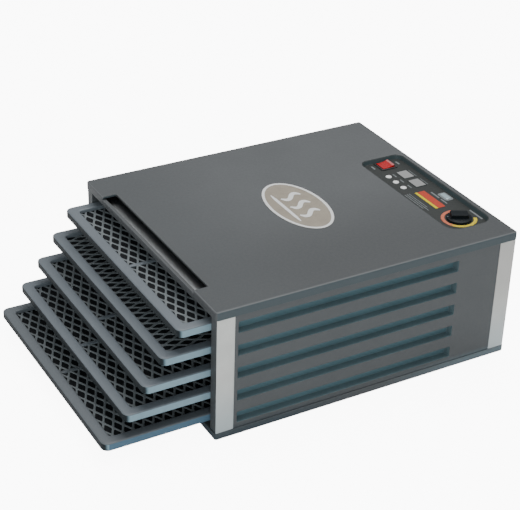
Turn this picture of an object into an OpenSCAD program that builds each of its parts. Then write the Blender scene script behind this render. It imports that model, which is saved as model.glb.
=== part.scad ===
// Countertop food dehydrator: a box-shaped cabinet with five pull-out drying
// trays, a fan and ring heater in a rear plenum, and a recessed control well
// in the top. The front is open: a hang-on door's hook drops over the bar and
// into the slot in the top cover. Origin: centre of the cabinet's footprint on the standing
// plane. The trays pull out towards -Y, +X is the right side, +Z is up.

/* [Cabinet] */
// Width over the top cover and the base
cab_w = 422; // [416:1:430]
// Depth over the top cover and the base
cab_d = 490; // [486:1:500]
// Height from the base's underside to the top
cab_h = 205; // [204:1:210]
// Height of the top cover's skirt
top_skirt = 13; // [11:1:15]
// Height of the base's skirt
base_skirt = 11; // [9:1:12]
// Plan radius of the cover's and base's corners
corner_r = 4; // [3:0.5:6]
// Width of the bright corner strips
trim_w = 27; // [20:1:28]

/* [Side recesses] */
// Length of the recesses in the side panels
groove_l = 355.6; // [300:1:358]
// Height of a recess's mouth
groove_h = 17.6; // [12:0.2:18]
// Depth of the recesses
groove_depth = 12.5; // [8:0.5:12.5]

/* [Trays] */
// Width of a tray
tray_w = 380; // [370:1:381]
// Length of a tray, front to back
tray_l = 378; // [360:1:378]
// Height of a tray's frame
tray_h = 12; // [10:0.5:14]
// Width of a tray frame's rail
rail_w = 16; // [14:1:20]
// Plan radius of a tray's corners
tray_r = 10; // [6:1:14]
// Vertical distance between trays
tray_pitch = 36.5; // [36:0.1:36.8]
// How far each tray stands out at rest, top tray first
tray_out = [70.3, 94.4, 120.3, 147.7, 179.7];
// Pitch of the mesh's diamonds across the tray
mesh_px = 60; // [36:1:70]
// Pitch of the mesh's diamonds along the tray
mesh_py = 30; // [24:0.4:40]
// Width of a mesh strand
strand_w = 5; // [3:0.5:6]
// Thickness of the web under the strands
web_t = 0.6; // [0.4:0.1:1]

/* [Controls] */
// Depth of the control well below the top
well_depth = 7; // [5:0.5:9]
// Diameter of the thermostat knob
knob_d = 38; // [30:1:42]
// Height of the thermostat knob
knob_h = 10; // [7:0.5:12]
// Outside diameter of the dial ring
dial_d = 53.4; // [48:0.2:56]
// Tilt of the power rocker at rest
rocker_tilt = 8; // [6:1:9]
// Diameter of the timer buttons
button_d = 9.5; // [8:0.5:11]

/* [Air drive] */
// Diameter of the fan
fan_d = 120; // [100:5:120]
// Number of fan blades
fan_blades_n = 6; // [4:1:8]
// Radius of the fan shaft
shaft_r = 3; // [2.5:0.5:4]
// Radius of the ring heater
heater_r = 52; // [40:1:52]

/* [Cord inlet] */
// Bore of the cord inlet
inlet_d = 8; // [6:0.5:9]

/* [Hidden] */
$fn = 48;
zb = 0;                      // underside of the base, which the cabinet stands on
zt = cab_h;                  // top of the cover
hw = cab_w/2;
hd = cab_d/2;
sk = 1.5;                    // skirt thickness
cov_t = 3;                   // thickness of the cover's top
pan_t = 3;                   // thickness of the base's floor
side_o = hw - sk - 0.1;      // outer face of a side panel
side_t = 2.9;
side_i = side_o - side_t;    // inner face of a side panel
face_y = hd - sk - 0.1;      // front and rear faces between the skirts
zf = zb + pan_t;             // top of the base's floor
zu = zt - cov_t;             // underside of the cover
liner_x = 193.2;             // outer face of the drying chamber's liner
liner_t = 2;
post_x = 193.5;              // inner face of the corner posts
ch_y0 = -218.5;              // front of the chamber
ch_y1 = 160;                 // back of the chamber
tray_in = -219.5;            // front edge of a tray pushed fully in
tray_z0 = zb + 19.8;         // underside of the lowest tray
door_y0 = -236;              // door slot, front
door_y1 = -223;              // door slot, back
notch_x0 = -150;
notch_x1 = 146;
groove_z = zb + 19;          // bottom of the lowest side groove
groove_pitch = 36.25;
fan_z = zb + 88;
fan_yc = 197;
well_x0 = -80;
well_x1 = 167.5;
well_y0 = 158.5;
well_y1 = 235.2;
wz = zt - well_depth;        // floor of the control well
knob_x = 131;
knob_y = 199;
rk_x = -63.5;
rk_y = 199;
btn_x = [-29.2, -9, 11.6];
btn_y = 182.1;
grip_l = 27;                 // block grip of the knob
grip_w = 17;
grip_a = 63;
fr = 2.2;                    // gap between frame and mesh: height of the groove

// ---------- shared shapes ----------

// Centred rectangle with round corners
module rsq(w, d, r) {
    square([w - 2*r, d], center = true);
    square([w, d - 2*r], center = true);
    for (sx = [-1, 1], sy = [-1, 1])
        translate([sx*(w/2 - r), sy*(d/2 - r)]) circle(r = r);
}

// Box from one corner to the opposite one
module bx(a, b) {
    translate(a) cube([b[0] - a[0], b[1] - a[1], b[2] - a[2]]);
}

// Cylinder along +Y
module cy(x, y0, y1, z, r) {
    translate([x, y1, z]) rotate([90, 0, 0]) cylinder(h = y1 - y0, r = r);
}

// Outline of the control well: tighter corners at the left end
module well_shape(g) {
    x0 = well_x0 + g; x1 = well_x1 - g; y0 = well_y0 + g; y1 = well_y1 - g;
    rl = 14 - g; rr = 20 - g;
    translate([x0 + rl, y0]) square([x1 - rr - x0 - rl, y1 - y0]);
    translate([x0, y0 + rl]) square([rl + 1, y1 - y0 - 2*rl]);
    translate([x1 - rr - 1, y0 + rr]) square([rr + 1, y1 - y0 - 2*rr]);
    for (y = [y0 + rl, y1 - rl]) translate([x0 + rl, y]) circle(r = rl);
    for (y = [y0 + rr, y1 - rr]) translate([x1 - rr, y]) circle(r = rr);
}

// Ellipse as a fine polygon
module oval(a, b, n) {
    polygon([for (i = [0:n - 1]) [a*cos(360*i/n), b*sin(360*i/n)]]);
}

// Screws that fasten the base to the feet of the corner posts
base_screw_pos = [for (sx = [-1, 1]) for (y = [-231.5, 229.5]) [sx*200, y]];

// ---------- base ----------

module base_pan() color([0.36, 0.37, 0.37]) difference() {
    translate([0, 0, zb]) linear_extrude(base_skirt) rsq(cab_w, cab_d, corner_r);
    translate([0, 0, zf]) linear_extrude(base_skirt) rsq(cab_w - 2*sk, cab_d - 2*sk, corner_r - sk);
    for (p = base_screw_pos) translate([p[0], p[1], zb - 1]) {
        cylinder(h = 2.8, r1 = 4.6, r2 = 1.8);
        cylinder(h = pan_t + 2, r = 1.9);
    }
}

// Countersunk, with the heads just below the base's underside
module base_screws() color([0.75, 0.75, 0.77]) for (p = base_screw_pos) translate([p[0], p[1], zb]) {
    translate([0, 0, 0.1]) cylinder(h = 1.6, r1 = 3.3, r2 = 1.7);
    translate([0, 0, 1.6]) cylinder(h = 12.4, r = 1.6);
}

// ---------- cabinet walls ----------

// Right side panel: a sheet with five long recesses pressed inwards
module side_panel() difference() {
    union() {
        bx([side_i, -face_y + 2.5, zf], [side_o, face_y - 2.5, zu]);
        bx([side_i, -face_y, zb + base_skirt + 0.2], [side_o, face_y, zt - top_skirt - 0.2]);
        for (k = [0:4]) bx([side_o - groove_depth - 2, -211 - 2, groove_z + k*groove_pitch - 2],
            [side_i + 0.5, -211 + groove_l + 2, groove_z + k*groove_pitch + groove_h + 2]);
    }
    for (k = [0:4]) bx([side_o - groove_depth, -211, groove_z + k*groove_pitch],
        [side_o + 1, -211 + groove_l, groove_z + k*groove_pitch + groove_h]);
}
module side_panel_right() color([0.42, 0.43, 0.43]) side_panel();
module side_panel_left() color([0.42, 0.43, 0.43]) mirror([1, 0, 0]) side_panel();

// Bright strip on a corner of the side panel
module trim(y0, y1) bx([side_o, y0, zb + base_skirt + 0.2], [side_o + 1, y1, zt - top_skirt - 0.2]);
module trim_front_right() color([0.78, 0.78, 0.76]) trim(-hd + 1.6, -hd + 1.6 + trim_w);
module trim_rear_right() color([0.78, 0.78, 0.76]) trim(hd - 1.6 - trim_w, hd - 1.6);
module trim_front_left() color([0.78, 0.78, 0.76]) mirror([1, 0, 0]) trim(-hd + 1.6, -hd + 1.6 + trim_w);
module trim_rear_left() color([0.78, 0.78, 0.76]) mirror([1, 0, 0]) trim(hd - 1.6 - trim_w, hd - 1.6);

// Front corner post beside the mouth
module front_post() difference() {
    bx([post_x, -face_y, zf], [side_i, -219.5, zt - top_skirt]);
    translate([200, -231.5, zf - 1]) cylinder(h = 13, r = 1.65);
}
module front_post_right() color([0.42, 0.43, 0.42]) front_post();
module front_post_left() color([0.42, 0.43, 0.42]) mirror([1, 0, 0]) front_post();

// Rear corner post that takes the rear panel's screws
post_screw_z = [zb + 22, zb + 102, zb + 182];
module rear_post() difference() {
    bx([post_x, 219, zf], [side_i, face_y - 2.9, zu]);
    translate([200, 229.5, zf - 1]) cylinder(h = 13, r = 1.65);
    for (z = post_screw_z) cy(200, face_y - 14, face_y, z, 1.6);
}
module rear_post_right() color([0.55, 0.55, 0.55]) rear_post();
module rear_post_left() color([0.55, 0.55, 0.55]) mirror([1, 0, 0]) rear_post();

// Sill that closes the mouth of the chamber at the bottom
module front_sill() color([0.4, 0.41, 0.41]) bx([-post_x + 0.3, -face_y, zf], [post_x - 0.3, -219.5, zf + 7.5]);

// Bar over the mouth that a hang-on door hooks over: its back edge is round
module door_crossbar() color([0.46, 0.47, 0.46]) union() {
    bx([-side_i, -face_y + 0.1, zt - top_skirt], [side_i, door_y0, zt - 5]);
    bx([notch_x0 + 0.3, -hd, zt - 14.5], [notch_x1 - 0.3, door_y0 - 2, zt - 4.5]);
    translate([notch_x0 + 0.3, door_y0 - 2, zt - 6.5]) rotate([0, 90, 0])
        cylinder(h = notch_x1 - notch_x0 - 0.6, r = 2);
}

module top_cover() color([0.42, 0.43, 0.43]) difference() {
    translate([0, 0, zt - top_skirt]) linear_extrude(top_skirt) rsq(cab_w, cab_d, corner_r);
    translate([0, 0, zt - top_skirt - 1]) linear_extrude(top_skirt - cov_t + 1) rsq(cab_w - 2*sk, cab_d - 2*sk, corner_r - sk);
    bx([notch_x0, -hd - 1, zt - top_skirt - 1], [notch_x1, door_y1, zt + 1]);
    translate([0, 0, zu - 1]) linear_extrude(cov_t + 2) well_shape(0);
}

// Rear panel: air intake slots behind the fan, cord hole, screw holes
module rear_panel() color([0.2, 0.2, 0.21]) difference() {
    bx([-side_i, face_y - 2.9, zf], [side_i, face_y, zu]);
    for (k = [-4:4]) for (s = [-1, 1])
        bx([s*31 - 25 + 1.5*abs(k), face_y - 4, fan_z + 11*k - 2.5], [s*31 + 25 - 1.5*abs(k), face_y + 1, fan_z + 11*k + 2.5]);
    cy(160, face_y - 4, face_y + 1, zb + 34, inlet_d/2 + 4);
    for (x = [-200, 200], z = post_screw_z) cy(x, face_y - 4, face_y + 1, z, 1.9);
}

module rear_panel_screws() color([0.7, 0.7, 0.72]) for (x = [-200, 200], z = post_screw_z) {
    cy(x, face_y, face_y + 1.4, z, 3.4);
    cy(x, face_y - 12, face_y + 0.1, z, 1.6);
}

// ---------- drying chamber ----------

// Folded sheet under the trays that catches crumbs and lifts out
module drip_pan() color([0.62, 0.63, 0.64]) union() {
    bx([-liner_x, ch_y0, zf + 7], [liner_x, ch_y1, zf + 9]);
    for (s = [0, 1]) mirror([s, 0, 0]) bx([liner_x - 2, ch_y0, zf], [liner_x, ch_y1, zf + 7.5]);
}

// Runs forward under the door slot, so the slot is a closed channel
module chamber_ceiling() color([0.6, 0.6, 0.61]) bx([-liner_x, door_y0 - 4, zb + 188], [liner_x, ch_y1, zb + 190]);

// Side liner with a ledge for each tray
module tray_rack() union() {
    bx([liner_x - liner_t, ch_y0, zf + 9], [liner_x, ch_y1, zb + 188]);
    for (k = [0:4]) bx([178, ch_y0, tray_z0 + k*tray_pitch - 2.3], [liner_x - liner_t + 0.5, ch_y1, tray_z0 + k*tray_pitch - 0.3]);
}
module tray_rack_right() color([0.3, 0.31, 0.31]) tray_rack();
module tray_rack_left() color([0.3, 0.31, 0.31]) mirror([1, 0, 0]) tray_rack();

// Perforated wall between the chamber and the plenum
module baffle() color([0.5, 0.5, 0.5]) translate([0, ch_y1 + 2.2, 0]) rotate([90, 0, 0]) linear_extrude(2) difference() {
    translate([-side_i, zf]) square([2*side_i, zu - zf]);
    for (c = [-3:3], k = [0:11]) translate([c*48 - 18, zb + 18 + k*14]) square([36, 6]);
    translate([well_x0 - 0.5, wz - 2.2]) square([well_x1 - well_x0 + 1, 12]);
}

// ---------- air drive in the plenum ----------

module fan_shroud() color([0.55, 0.56, 0.57]) difference() {
    union() {
        bx([-100, 184, zf], [100, 186, zb + 162]);
        cy(0, 185.5, 202, fan_z, fan_d/2 + 8);
    }
    cy(0, 180, 205, fan_z, fan_d/2 + 6);
}

module fan_blades() color([0.75, 0.76, 0.78]) translate([0, fan_yc, fan_z]) difference() {
    union() {
        translate([0, 7, 0]) rotate([90, 0, 0]) cylinder(h = 14, r = 17);
        intersection() {
            translate([0, 9, 0]) rotate([90, 0, 0]) cylinder(h = 18, r = fan_d/2);
            for (i = [0:fan_blades_n - 1]) rotate([0, 360*i/fan_blades_n, 0])
                translate([0, 0, 15]) rotate([0, 0, 35]) translate([-18, -0.8, 0]) cube([36, 1.6, fan_d/2]);
        }
    }
    translate([0, 12, 0]) rotate([90, 0, 0]) cylinder(h = 24, r = shaft_r);
}

module fan_shaft() color([0.8, 0.8, 0.82]) cy(0, 189, 229, fan_z, shaft_r);

module motor_rotor() color([0.4, 0.4, 0.42]) difference() {
    cy(0, 215, 223, fan_z, 12);
    cy(0, 214, 224, fan_z, shaft_r);
}

module motor_housing() color([0.3, 0.3, 0.32]) difference() {
    cy(0, 208, 231, fan_z, 30);
    cy(0, 214, 224.5, fan_z, 13);
    cy(0, 200, 235, fan_z, shaft_r + 3);
}

module motor_bushes() color([0.72, 0.5, 0.25]) for (y = [208, 225]) difference() {
    cy(0, y, y + 5, fan_z, shaft_r + 3);
    cy(0, y - 1, y + 6, fan_z, shaft_r + 0.04);
}

module motor_bracket() color([0.6, 0.6, 0.62]) difference() {
    union() {
        bx([-66, 231, fan_z - 9], [66, 233, fan_z + 9]);
        for (s = [-1, 1]) bx([s*65 - 1, 232.5, fan_z - 9], [s*65 + 1, face_y - 2.9, fan_z + 9]);
    }
    cy(0, 228, 236, fan_z, shaft_r + 3);
}

module heater_element() color([0.35, 0.3, 0.27]) union() {
    translate([0, 173, fan_z]) rotate([90, 0, 0]) rotate_extrude() translate([heater_r, 0]) circle(r = 3.2);
    for (s = [-1, 1]) translate([s*9, 173, fan_z + heater_r - 1]) cylinder(h = 16, r = 2.4);
}

module heater_clips() color([0.75, 0.75, 0.72]) for (a = [0, 120, 240]) translate([0, 0, fan_z])
    rotate([0, a + 30, 0]) bx([heater_r - 4, 176.2, -5], [heater_r + 18, 184, 5]);

module thermal_cutoff() color([0.82, 0.8, 0.75]) union() {
    cy(82, 174, 184, zb + 140, 8);
    for (s = [-1, 1]) bx([82 + s*5 - 2.5, 168, zb + 139.6], [82 + s*5 + 2.5, 175, zb + 140.4]);
}

module sensor_bulb() color([0.75, 0.5, 0.32]) union() {
    translate([-150, 168, zb + 120]) cylinder(h = 60, r = 3);
    translate([-150, 168, zb + 179]) cylinder(h = 12, r = 1);
}

module terminal_block() color([0.9, 0.88, 0.8]) difference() {
    bx([110, 224, zf], [146, 236, zf + 16]);
    for (i = [0:2]) cy(116 + 12*i, 223, 237, zf + 9, 3);
}

module cord_inlet() color([0.07, 0.07, 0.07]) difference() {
    union() {
        cy(160, face_y - 9, face_y + 1.4, zb + 34, inlet_d/2 + 4);
        cy(160, face_y, face_y + 1.4, zb + 34, inlet_d/2 + 7);
        cy(160, face_y - 9, face_y - 2.9, zb + 34, inlet_d/2 + 6);
    }
    cy(160, face_y - 12, face_y + 3, zb + 34, inlet_d/2);
}

// ---------- controls in the well ----------

module control_well() color([0.14, 0.17, 0.17]) difference() {
    union() {
        translate([0, 0, wz - 2]) linear_extrude(well_depth + 2) well_shape(0.15);
    }
    translate([0, 0, wz]) linear_extrude(well_depth + 1) well_shape(2);
    translate([knob_x, knob_y, wz - 3]) cylinder(h = 5, r = 5.5);
    bx([rk_x - 12.5, rk_y - 13, wz - 3], [rk_x + 12.5, rk_y + 13, wz + 1]);
    for (x = btn_x) translate([x, btn_y, wz - 3]) cylinder(h = 5, r = button_d/2 + 0.4);
}

module dial_ring() color([0.85, 0.75, 0.15]) translate([knob_x, knob_y, wz]) difference() {
    cylinder(h = 0.8, r = dial_d/2);
    translate([0, 0, -1]) cylinder(h = 3, r = dial_d/2 - 5.4);
    translate([-4, 8, -1]) rotate([0, 0, 45]) translate([0, 0, 0]) cube([60, 60, 4]);
}

module temperature_label() color([0.9, 0.4, 0.2]) bx([34.5, 186.4, wz], [90.2, 204.3, wz + 0.4]);

module indicator_lens() color([0.75, 0.84, 0.9]) translate([65, 222, wz]) linear_extrude(1.8) rsq(25, 13, 2);

module display_windows() color([0.68, 0.68, 0.68]) for (x = [-24, 7.7])
    translate([x, 209.8, wz]) linear_extrude(0.7) rsq(23, 17.8, 1);

module rocker_housing() color([0.04, 0.04, 0.04]) difference() {
    union() {
        bx([rk_x - 13.4, rk_y - 14.4, wz], [rk_x + 13.4, rk_y + 14.4, wz + 1.5]);
        bx([rk_x - 12.3, rk_y - 12.8, wz - 19], [rk_x + 12.3, rk_y + 12.8, wz + 0.5]);
        for (x = [-7, 0, 7]) bx([rk_x + x - 0.4, rk_y - 3, wz - 27], [rk_x + x + 0.4, rk_y + 3, wz - 18.5]);
    }
    bx([rk_x - 10.8, rk_y - 11.4, wz - 12], [rk_x + 10.8, rk_y + 11.4, wz + 3]);
    translate([rk_x - 11.8, rk_y, wz - 2]) rotate([0, 90, 0]) cylinder(h = 23.6, r = 1.54);
}

// Power rocker: a shallow V on pivot pins that run left to right
module power_rocker() color([0.8, 0.13, 0.13]) translate([rk_x, rk_y, wz - 2]) rotate([rocker_tilt, 0, 0]) union() {
    translate([-10.3, 0, 0]) rotate([90, 0, 90]) linear_extrude(20.6)
        polygon([[-10.1, -1.5], [-4, -5], [4, -5], [10.1, -1.5], [10.4, 5.6], [0, 4], [-10.4, 5.6]]);
    translate([-11.6, 0, 0]) rotate([0, 90, 0]) cylinder(h = 23.2, r = 1.5);
}

// Timer board with a switch under each button and the display module
module timer_board() color([0.12, 0.32, 0.2]) union() {
    bx([-44, 172, wz - 15], [30, 228, wz - 13.4]);
    for (x = btn_x) bx([x - 3, btn_y - 3, wz - 13.5], [x + 3, btn_y + 3, wz - 8.5]);
    bx([-36, 201, wz - 13.5], [20, 219.5, wz - 2]);
    for (x = [-41, 27], y = [175, 225]) translate([x, y, wz - 13.5]) cylinder(h = 11.5, r = 2.4);
}

module timer_button(i) translate([btn_x[i], btn_y, wz]) union() {
    translate([0, 0, -5]) cylinder(h = 5.7, r = button_d/2);
    translate([0, 0, -6.4]) cylinder(h = 1.5, r = button_d/2 + 1.2);
    translate([0, 0, -7.2]) cylinder(h = 1, r = 1.6);
}
module timer_button_1() color([0.93, 0.93, 0.93]) timer_button(0);
module timer_button_2() color([0.93, 0.93, 0.93]) timer_button(1);
module timer_button_3() color([0.93, 0.93, 0.93]) timer_button(2);

module thermostat_body() color([0.6, 0.6, 0.58]) difference() {
    union() {
        bx([knob_x - 20, knob_y - 16, wz - 30], [knob_x + 20, knob_y + 16, wz - 6]);
        translate([knob_x, knob_y, wz - 6.5]) cylinder(h = 4.5, r = 9);
        translate([knob_x, knob_y, wz - 3]) cylinder(h = 4, r = 5.4);
    }
    translate([knob_x, knob_y, wz - 18]) cylinder(h = 30, r = 3.05);
}

// Knob with a stepped skirt, a block grip and a shaft of its own
module thermostat_knob() color([0.05, 0.05, 0.05]) translate([knob_x, knob_y, wz]) union() {
    difference() {
        union() {
            translate([0, 0, 1.3]) cylinder(h = 2.2, r = knob_d/2);
            rotate([0, 0, grip_a]) translate([0, 0, 1.3]) linear_extrude(knob_h - 1.3) rsq(grip_l, grip_w, 2);
            translate([0, 0, 1.3]) cylinder(h = 3.4, r = knob_d/2 - 3.2);
        }
        translate([0, 0, 0]) cylinder(h = 2.5, r = 7);
    }
    translate([0, 0, -17]) cylinder(h = 20, r = 3);
}

module badge() color([0.85, 0.82, 0.76]) translate([1, 0.2, zt]) linear_extrude(0.8) oval(76, 42.8, 96);

// ---------- trays ----------

// Frame of a tray in place: k is 0 for the top tray
module tray_frame(k) translate([0, tray_in - tray_out[k] + tray_l/2, tray_z0 + (4 - k)*tray_pitch]) difference() {
    linear_extrude(tray_h) rsq(tray_w, tray_l, tray_r);
    translate([0, 0, -1]) linear_extrude(tray_h + 2) rsq(tray_w - 2*rail_w, tray_l - 2*rail_w, tray_r - 4);
    translate([0, 0, 4.3]) linear_extrude(fr) rsq(tray_w - 2*rail_w + 6.4, tray_l - 2*rail_w + 6.4, tray_r - 2);
}

// Diamond mesh mat of a tray, held in the frame's groove: raised strands over a
// thin web. turn = 1 puts the long way of the diamonds front to back.
module mesh_holes(turn) {
    a = turn ? mesh_py : mesh_px;
    b = turn ? mesh_px : mesh_py;
    s = 1 - strand_w*sqrt(a*a + b*b)/(a*b);
    for (i = [-ceil(180/a):ceil(180/a)], j = [-ceil(180/b):ceil(180/b)], h = [0, 0.5])
        if (abs((i + h)*a) + a*s/2 < tray_w/2 - rail_w - 2 && abs((j + h)*b) + b*s/2 < tray_l/2 - rail_w - 2
            && abs((i + h)*a) > a*s/2 + 4)
            translate([(i + h)*a, (j + h)*b]) polygon([[a*s/2, 0], [0, b*s/2], [-a*s/2, 0], [0, -b*s/2]]);
}
module tray_mesh(k, turn) translate([0, tray_in - tray_out[k] + tray_l/2, tray_z0 + (4 - k)*tray_pitch + 4.4]) difference() {
    linear_extrude(2) rsq(tray_w - 2*rail_w + 6, tray_l - 2*rail_w + 6, tray_r - 2.2);
    translate([0, 0, web_t]) linear_extrude(2) mesh_holes(turn);
}
frame_c = [0.5, 0.53, 0.56];
mesh_c = [0.45, 0.47, 0.48];
module tray_frame_1() color(frame_c) tray_frame(0);
module tray_frame_2() color(frame_c) tray_frame(1);
module tray_frame_3() color(frame_c) tray_frame(2);
module tray_frame_4() color(frame_c) tray_frame(3);
module tray_frame_5() color(frame_c) tray_frame(4);
module tray_mesh_1() color(mesh_c) tray_mesh(0, 0);
module tray_mesh_2() color(mesh_c) tray_mesh(1, 1);
module tray_mesh_3() color(mesh_c) tray_mesh(2, 0);
module tray_mesh_4() color(mesh_c) tray_mesh(3, 0);
module tray_mesh_5() color(mesh_c) tray_mesh(4, 0);

base_pan();
base_screws();
side_panel_left();
side_panel_right();
trim_front_left();
trim_front_right();
trim_rear_left();
trim_rear_right();
front_post_left();
front_post_right();
rear_post_left();
rear_post_right();
front_sill();
door_crossbar();
top_cover();
rear_panel();
rear_panel_screws();
drip_pan();
chamber_ceiling();
tray_rack_left();
tray_rack_right();
baffle();
fan_shroud();
fan_blades();
fan_shaft();
motor_rotor();
motor_housing();
motor_bushes();
motor_bracket();
heater_element();
heater_clips();
thermal_cutoff();
sensor_bulb();
terminal_block();
cord_inlet();
control_well();
dial_ring();
temperature_label();
indicator_lens();
display_windows();
rocker_housing();
power_rocker();
timer_board();
timer_button_1();
timer_button_2();
timer_button_3();
thermostat_body();
thermostat_knob();
badge();
tray_frame_1();
tray_frame_2();
tray_frame_3();
tray_frame_4();
tray_frame_5();
tray_mesh_1();
tray_mesh_2();
tray_mesh_3();
tray_mesh_4();
tray_mesh_5();
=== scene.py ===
import bpy, bmesh, math
from mathutils import Vector, Matrix


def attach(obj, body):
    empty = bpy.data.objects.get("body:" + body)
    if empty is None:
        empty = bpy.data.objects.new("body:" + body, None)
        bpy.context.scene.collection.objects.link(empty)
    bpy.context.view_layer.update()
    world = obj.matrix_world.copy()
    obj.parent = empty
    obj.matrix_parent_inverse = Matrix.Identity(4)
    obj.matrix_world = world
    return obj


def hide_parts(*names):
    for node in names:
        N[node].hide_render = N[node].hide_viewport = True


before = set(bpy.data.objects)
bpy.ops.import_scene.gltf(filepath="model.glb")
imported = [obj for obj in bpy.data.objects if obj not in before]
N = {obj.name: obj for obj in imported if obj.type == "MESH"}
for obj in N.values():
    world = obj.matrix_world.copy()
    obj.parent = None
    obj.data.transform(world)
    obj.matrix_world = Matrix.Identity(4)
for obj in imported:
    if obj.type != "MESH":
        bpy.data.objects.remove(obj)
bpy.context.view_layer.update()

MM = 0.001

# ------------------------------------------------------------------ camera
cam_d = bpy.data.cameras.new("camera")
cam_d.sensor_fit = 'HORIZONTAL'
cam_d.sensor_width = 36.0
cam_d.lens = 99.669
cam_d.clip_end = 30
cam = bpy.data.objects.new("camera", cam_d)
bpy.context.scene.collection.objects.link(cam)
r_ = Vector((0.488974, 0.871889, 0.026731))
u_ = Vector((-0.445581, 0.223312, 0.866943))
l_ = Vector((-0.749908, 0.435823, -0.497691))
M = Matrix((r_, u_, -l_)).transposed().to_4x4()
M.translation = Vector((1.595775, -0.98778, 1.1952))
cam.matrix_world = M
bpy.context.scene.camera = cam

# ------------------------------------------------------------------ materials
def _new(name):
    m = bpy.data.materials.new(name)
    m.use_nodes = True
    nt = m.node_tree
    for n in list(nt.nodes):
        nt.nodes.remove(n)
    out = nt.nodes.new("ShaderNodeOutputMaterial")
    b = nt.nodes.new("ShaderNodeBsdfPrincipled")
    nt.links.new(b.outputs[0], out.inputs[0])
    tc = nt.nodes.new("ShaderNodeTexCoord")
    return m, nt, b, tc

def _noise(nt, vec, scale, detail=4, rough=0.55, stretch=None, w=0.0):
    if stretch:
        mp = nt.nodes.new("ShaderNodeMapping")
        mp.inputs["Scale"].default_value = stretch
        nt.links.new(vec, mp.inputs["Vector"])
        vec = mp.outputs[0]
    n = nt.nodes.new("ShaderNodeTexNoise")
    n.inputs["Scale"].default_value = scale
    n.inputs["Detail"].default_value = detail
    n.inputs["Roughness"].default_value = rough
    nt.links.new(vec, n.inputs["Vector"])
    return n.outputs[0]

def _map(nt, val, a, b, c, d):
    n = nt.nodes.new("ShaderNodeMapRange")
    n.inputs[1].default_value = a
    n.inputs[2].default_value = b
    n.inputs[3].default_value = c
    n.inputs[4].default_value = d
    nt.links.new(val, n.inputs[0])
    return n.outputs[0]

def _math(nt, op, a, b=None, clamp=False):
    n = nt.nodes.new("ShaderNodeMath")
    n.operation = op
    n.use_clamp = clamp
    for i, v in enumerate((a, b)):
        if v is None:
            continue
        if isinstance(v, (int, float)):
            n.inputs[i].default_value = v
        else:
            nt.links.new(v, n.inputs[i])
    return n.outputs[0]

def _mix(nt, f, a, b, mode='MIX'):
    n = nt.nodes.new("ShaderNodeMix")
    n.data_type = 'RGBA'
    n.blend_type = mode
    for s, v in ((0, f), (6, a), (7, b)):
        if isinstance(v, (int, float)):
            n.inputs[s].default_value = v
        elif isinstance(v, (tuple, list)):
            n.inputs[s].default_value = (*v[:3], 1)
        else:
            nt.links.new(v, n.inputs[s])
    return n.outputs[2]

def _edge(nt, radius, gain=3.0):
    """0 on flat areas, towards 1 on sharp edges."""
    bv = nt.nodes.new("ShaderNodeBevel")
    bv.samples = 6
    bv.inputs["Radius"].default_value = radius
    ge = nt.nodes.new("ShaderNodeNewGeometry")
    dot = nt.nodes.new("ShaderNodeVectorMath")
    dot.operation = 'DOT_PRODUCT'
    nt.links.new(bv.outputs[0], dot.inputs[0])
    nt.links.new(ge.outputs["Normal"], dot.inputs[1])
    inv = _math(nt, 'SUBTRACT', 1.0, dot.outputs["Value"])
    return _math(nt, 'MULTIPLY', inv, gain, True)

def _bump(nt, b, h, dist, strength=1.0):
    bp = nt.nodes.new("ShaderNodeBump")
    bp.inputs["Distance"].default_value = dist
    bp.inputs["Strength"].default_value = strength
    nt.links.new(h, bp.inputs["Height"])
    nt.links.new(bp.outputs[0], b.inputs["Normal"])

def plastic(name, col, rough=0.45, var=0.10, grain=1400, grain_d=0.00006, wear=0.35,
            wear_col=None, spec=0.5, coat=0.0, mottling=14, scuff=0.08):
    """Moulded plastic or fine powder coat: grain bump, soft colour drift, rubbed edges, fine scuffs."""
    m, nt, b, tc = _new(name)
    o = tc.outputs["Object"]
    big = _noise(nt, o, mottling, 3)
    fine = _noise(nt, o, grain, 2, 0.6)
    mid = _noise(nt, o, 220, 4, 0.6)
    dark = tuple(c*(1 - var) for c in col)
    light = tuple(min(1, c*(1 + var)) for c in col)
    c1 = _mix(nt, _map(nt, big, 0.3, 0.7, 0, 1), dark, light)
    c2 = _mix(nt, _map(nt, fine, 0.35, 0.65, 0, 0.5), c1, tuple(c*(1 - var*1.6) for c in col))
    wc = wear_col or tuple(min(1, c*1.9 + 0.02) for c in col)
    rub = _math(nt, 'MULTIPLY', _edge(nt, 0.0009), _map(nt, mid, 0.35, 0.7, 0.25, 1.0))
    c3 = _mix(nt, _math(nt, 'MULTIPLY', rub, wear), c2, wc)
    nt.links.new(c3, b.inputs["Base Color"])
    sc = _noise(nt, o, 60, 8, 0.75, stretch=(1, 5, 1))
    r = _math(nt, 'ADD', _map(nt, mid, 0.3, 0.7, rough - 0.05, rough + 0.06),
              _map(nt, sc, 0.62, 0.75, 0, -scuff))
    nt.links.new(r, b.inputs["Roughness"])
    b.inputs["Specular IOR Level"].default_value = spec
    if coat:
        b.inputs["Coat Weight"].default_value = coat
        b.inputs["Coat Roughness"].default_value = 0.15
    _bump(nt, b, fine, grain_d)
    return m

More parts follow.
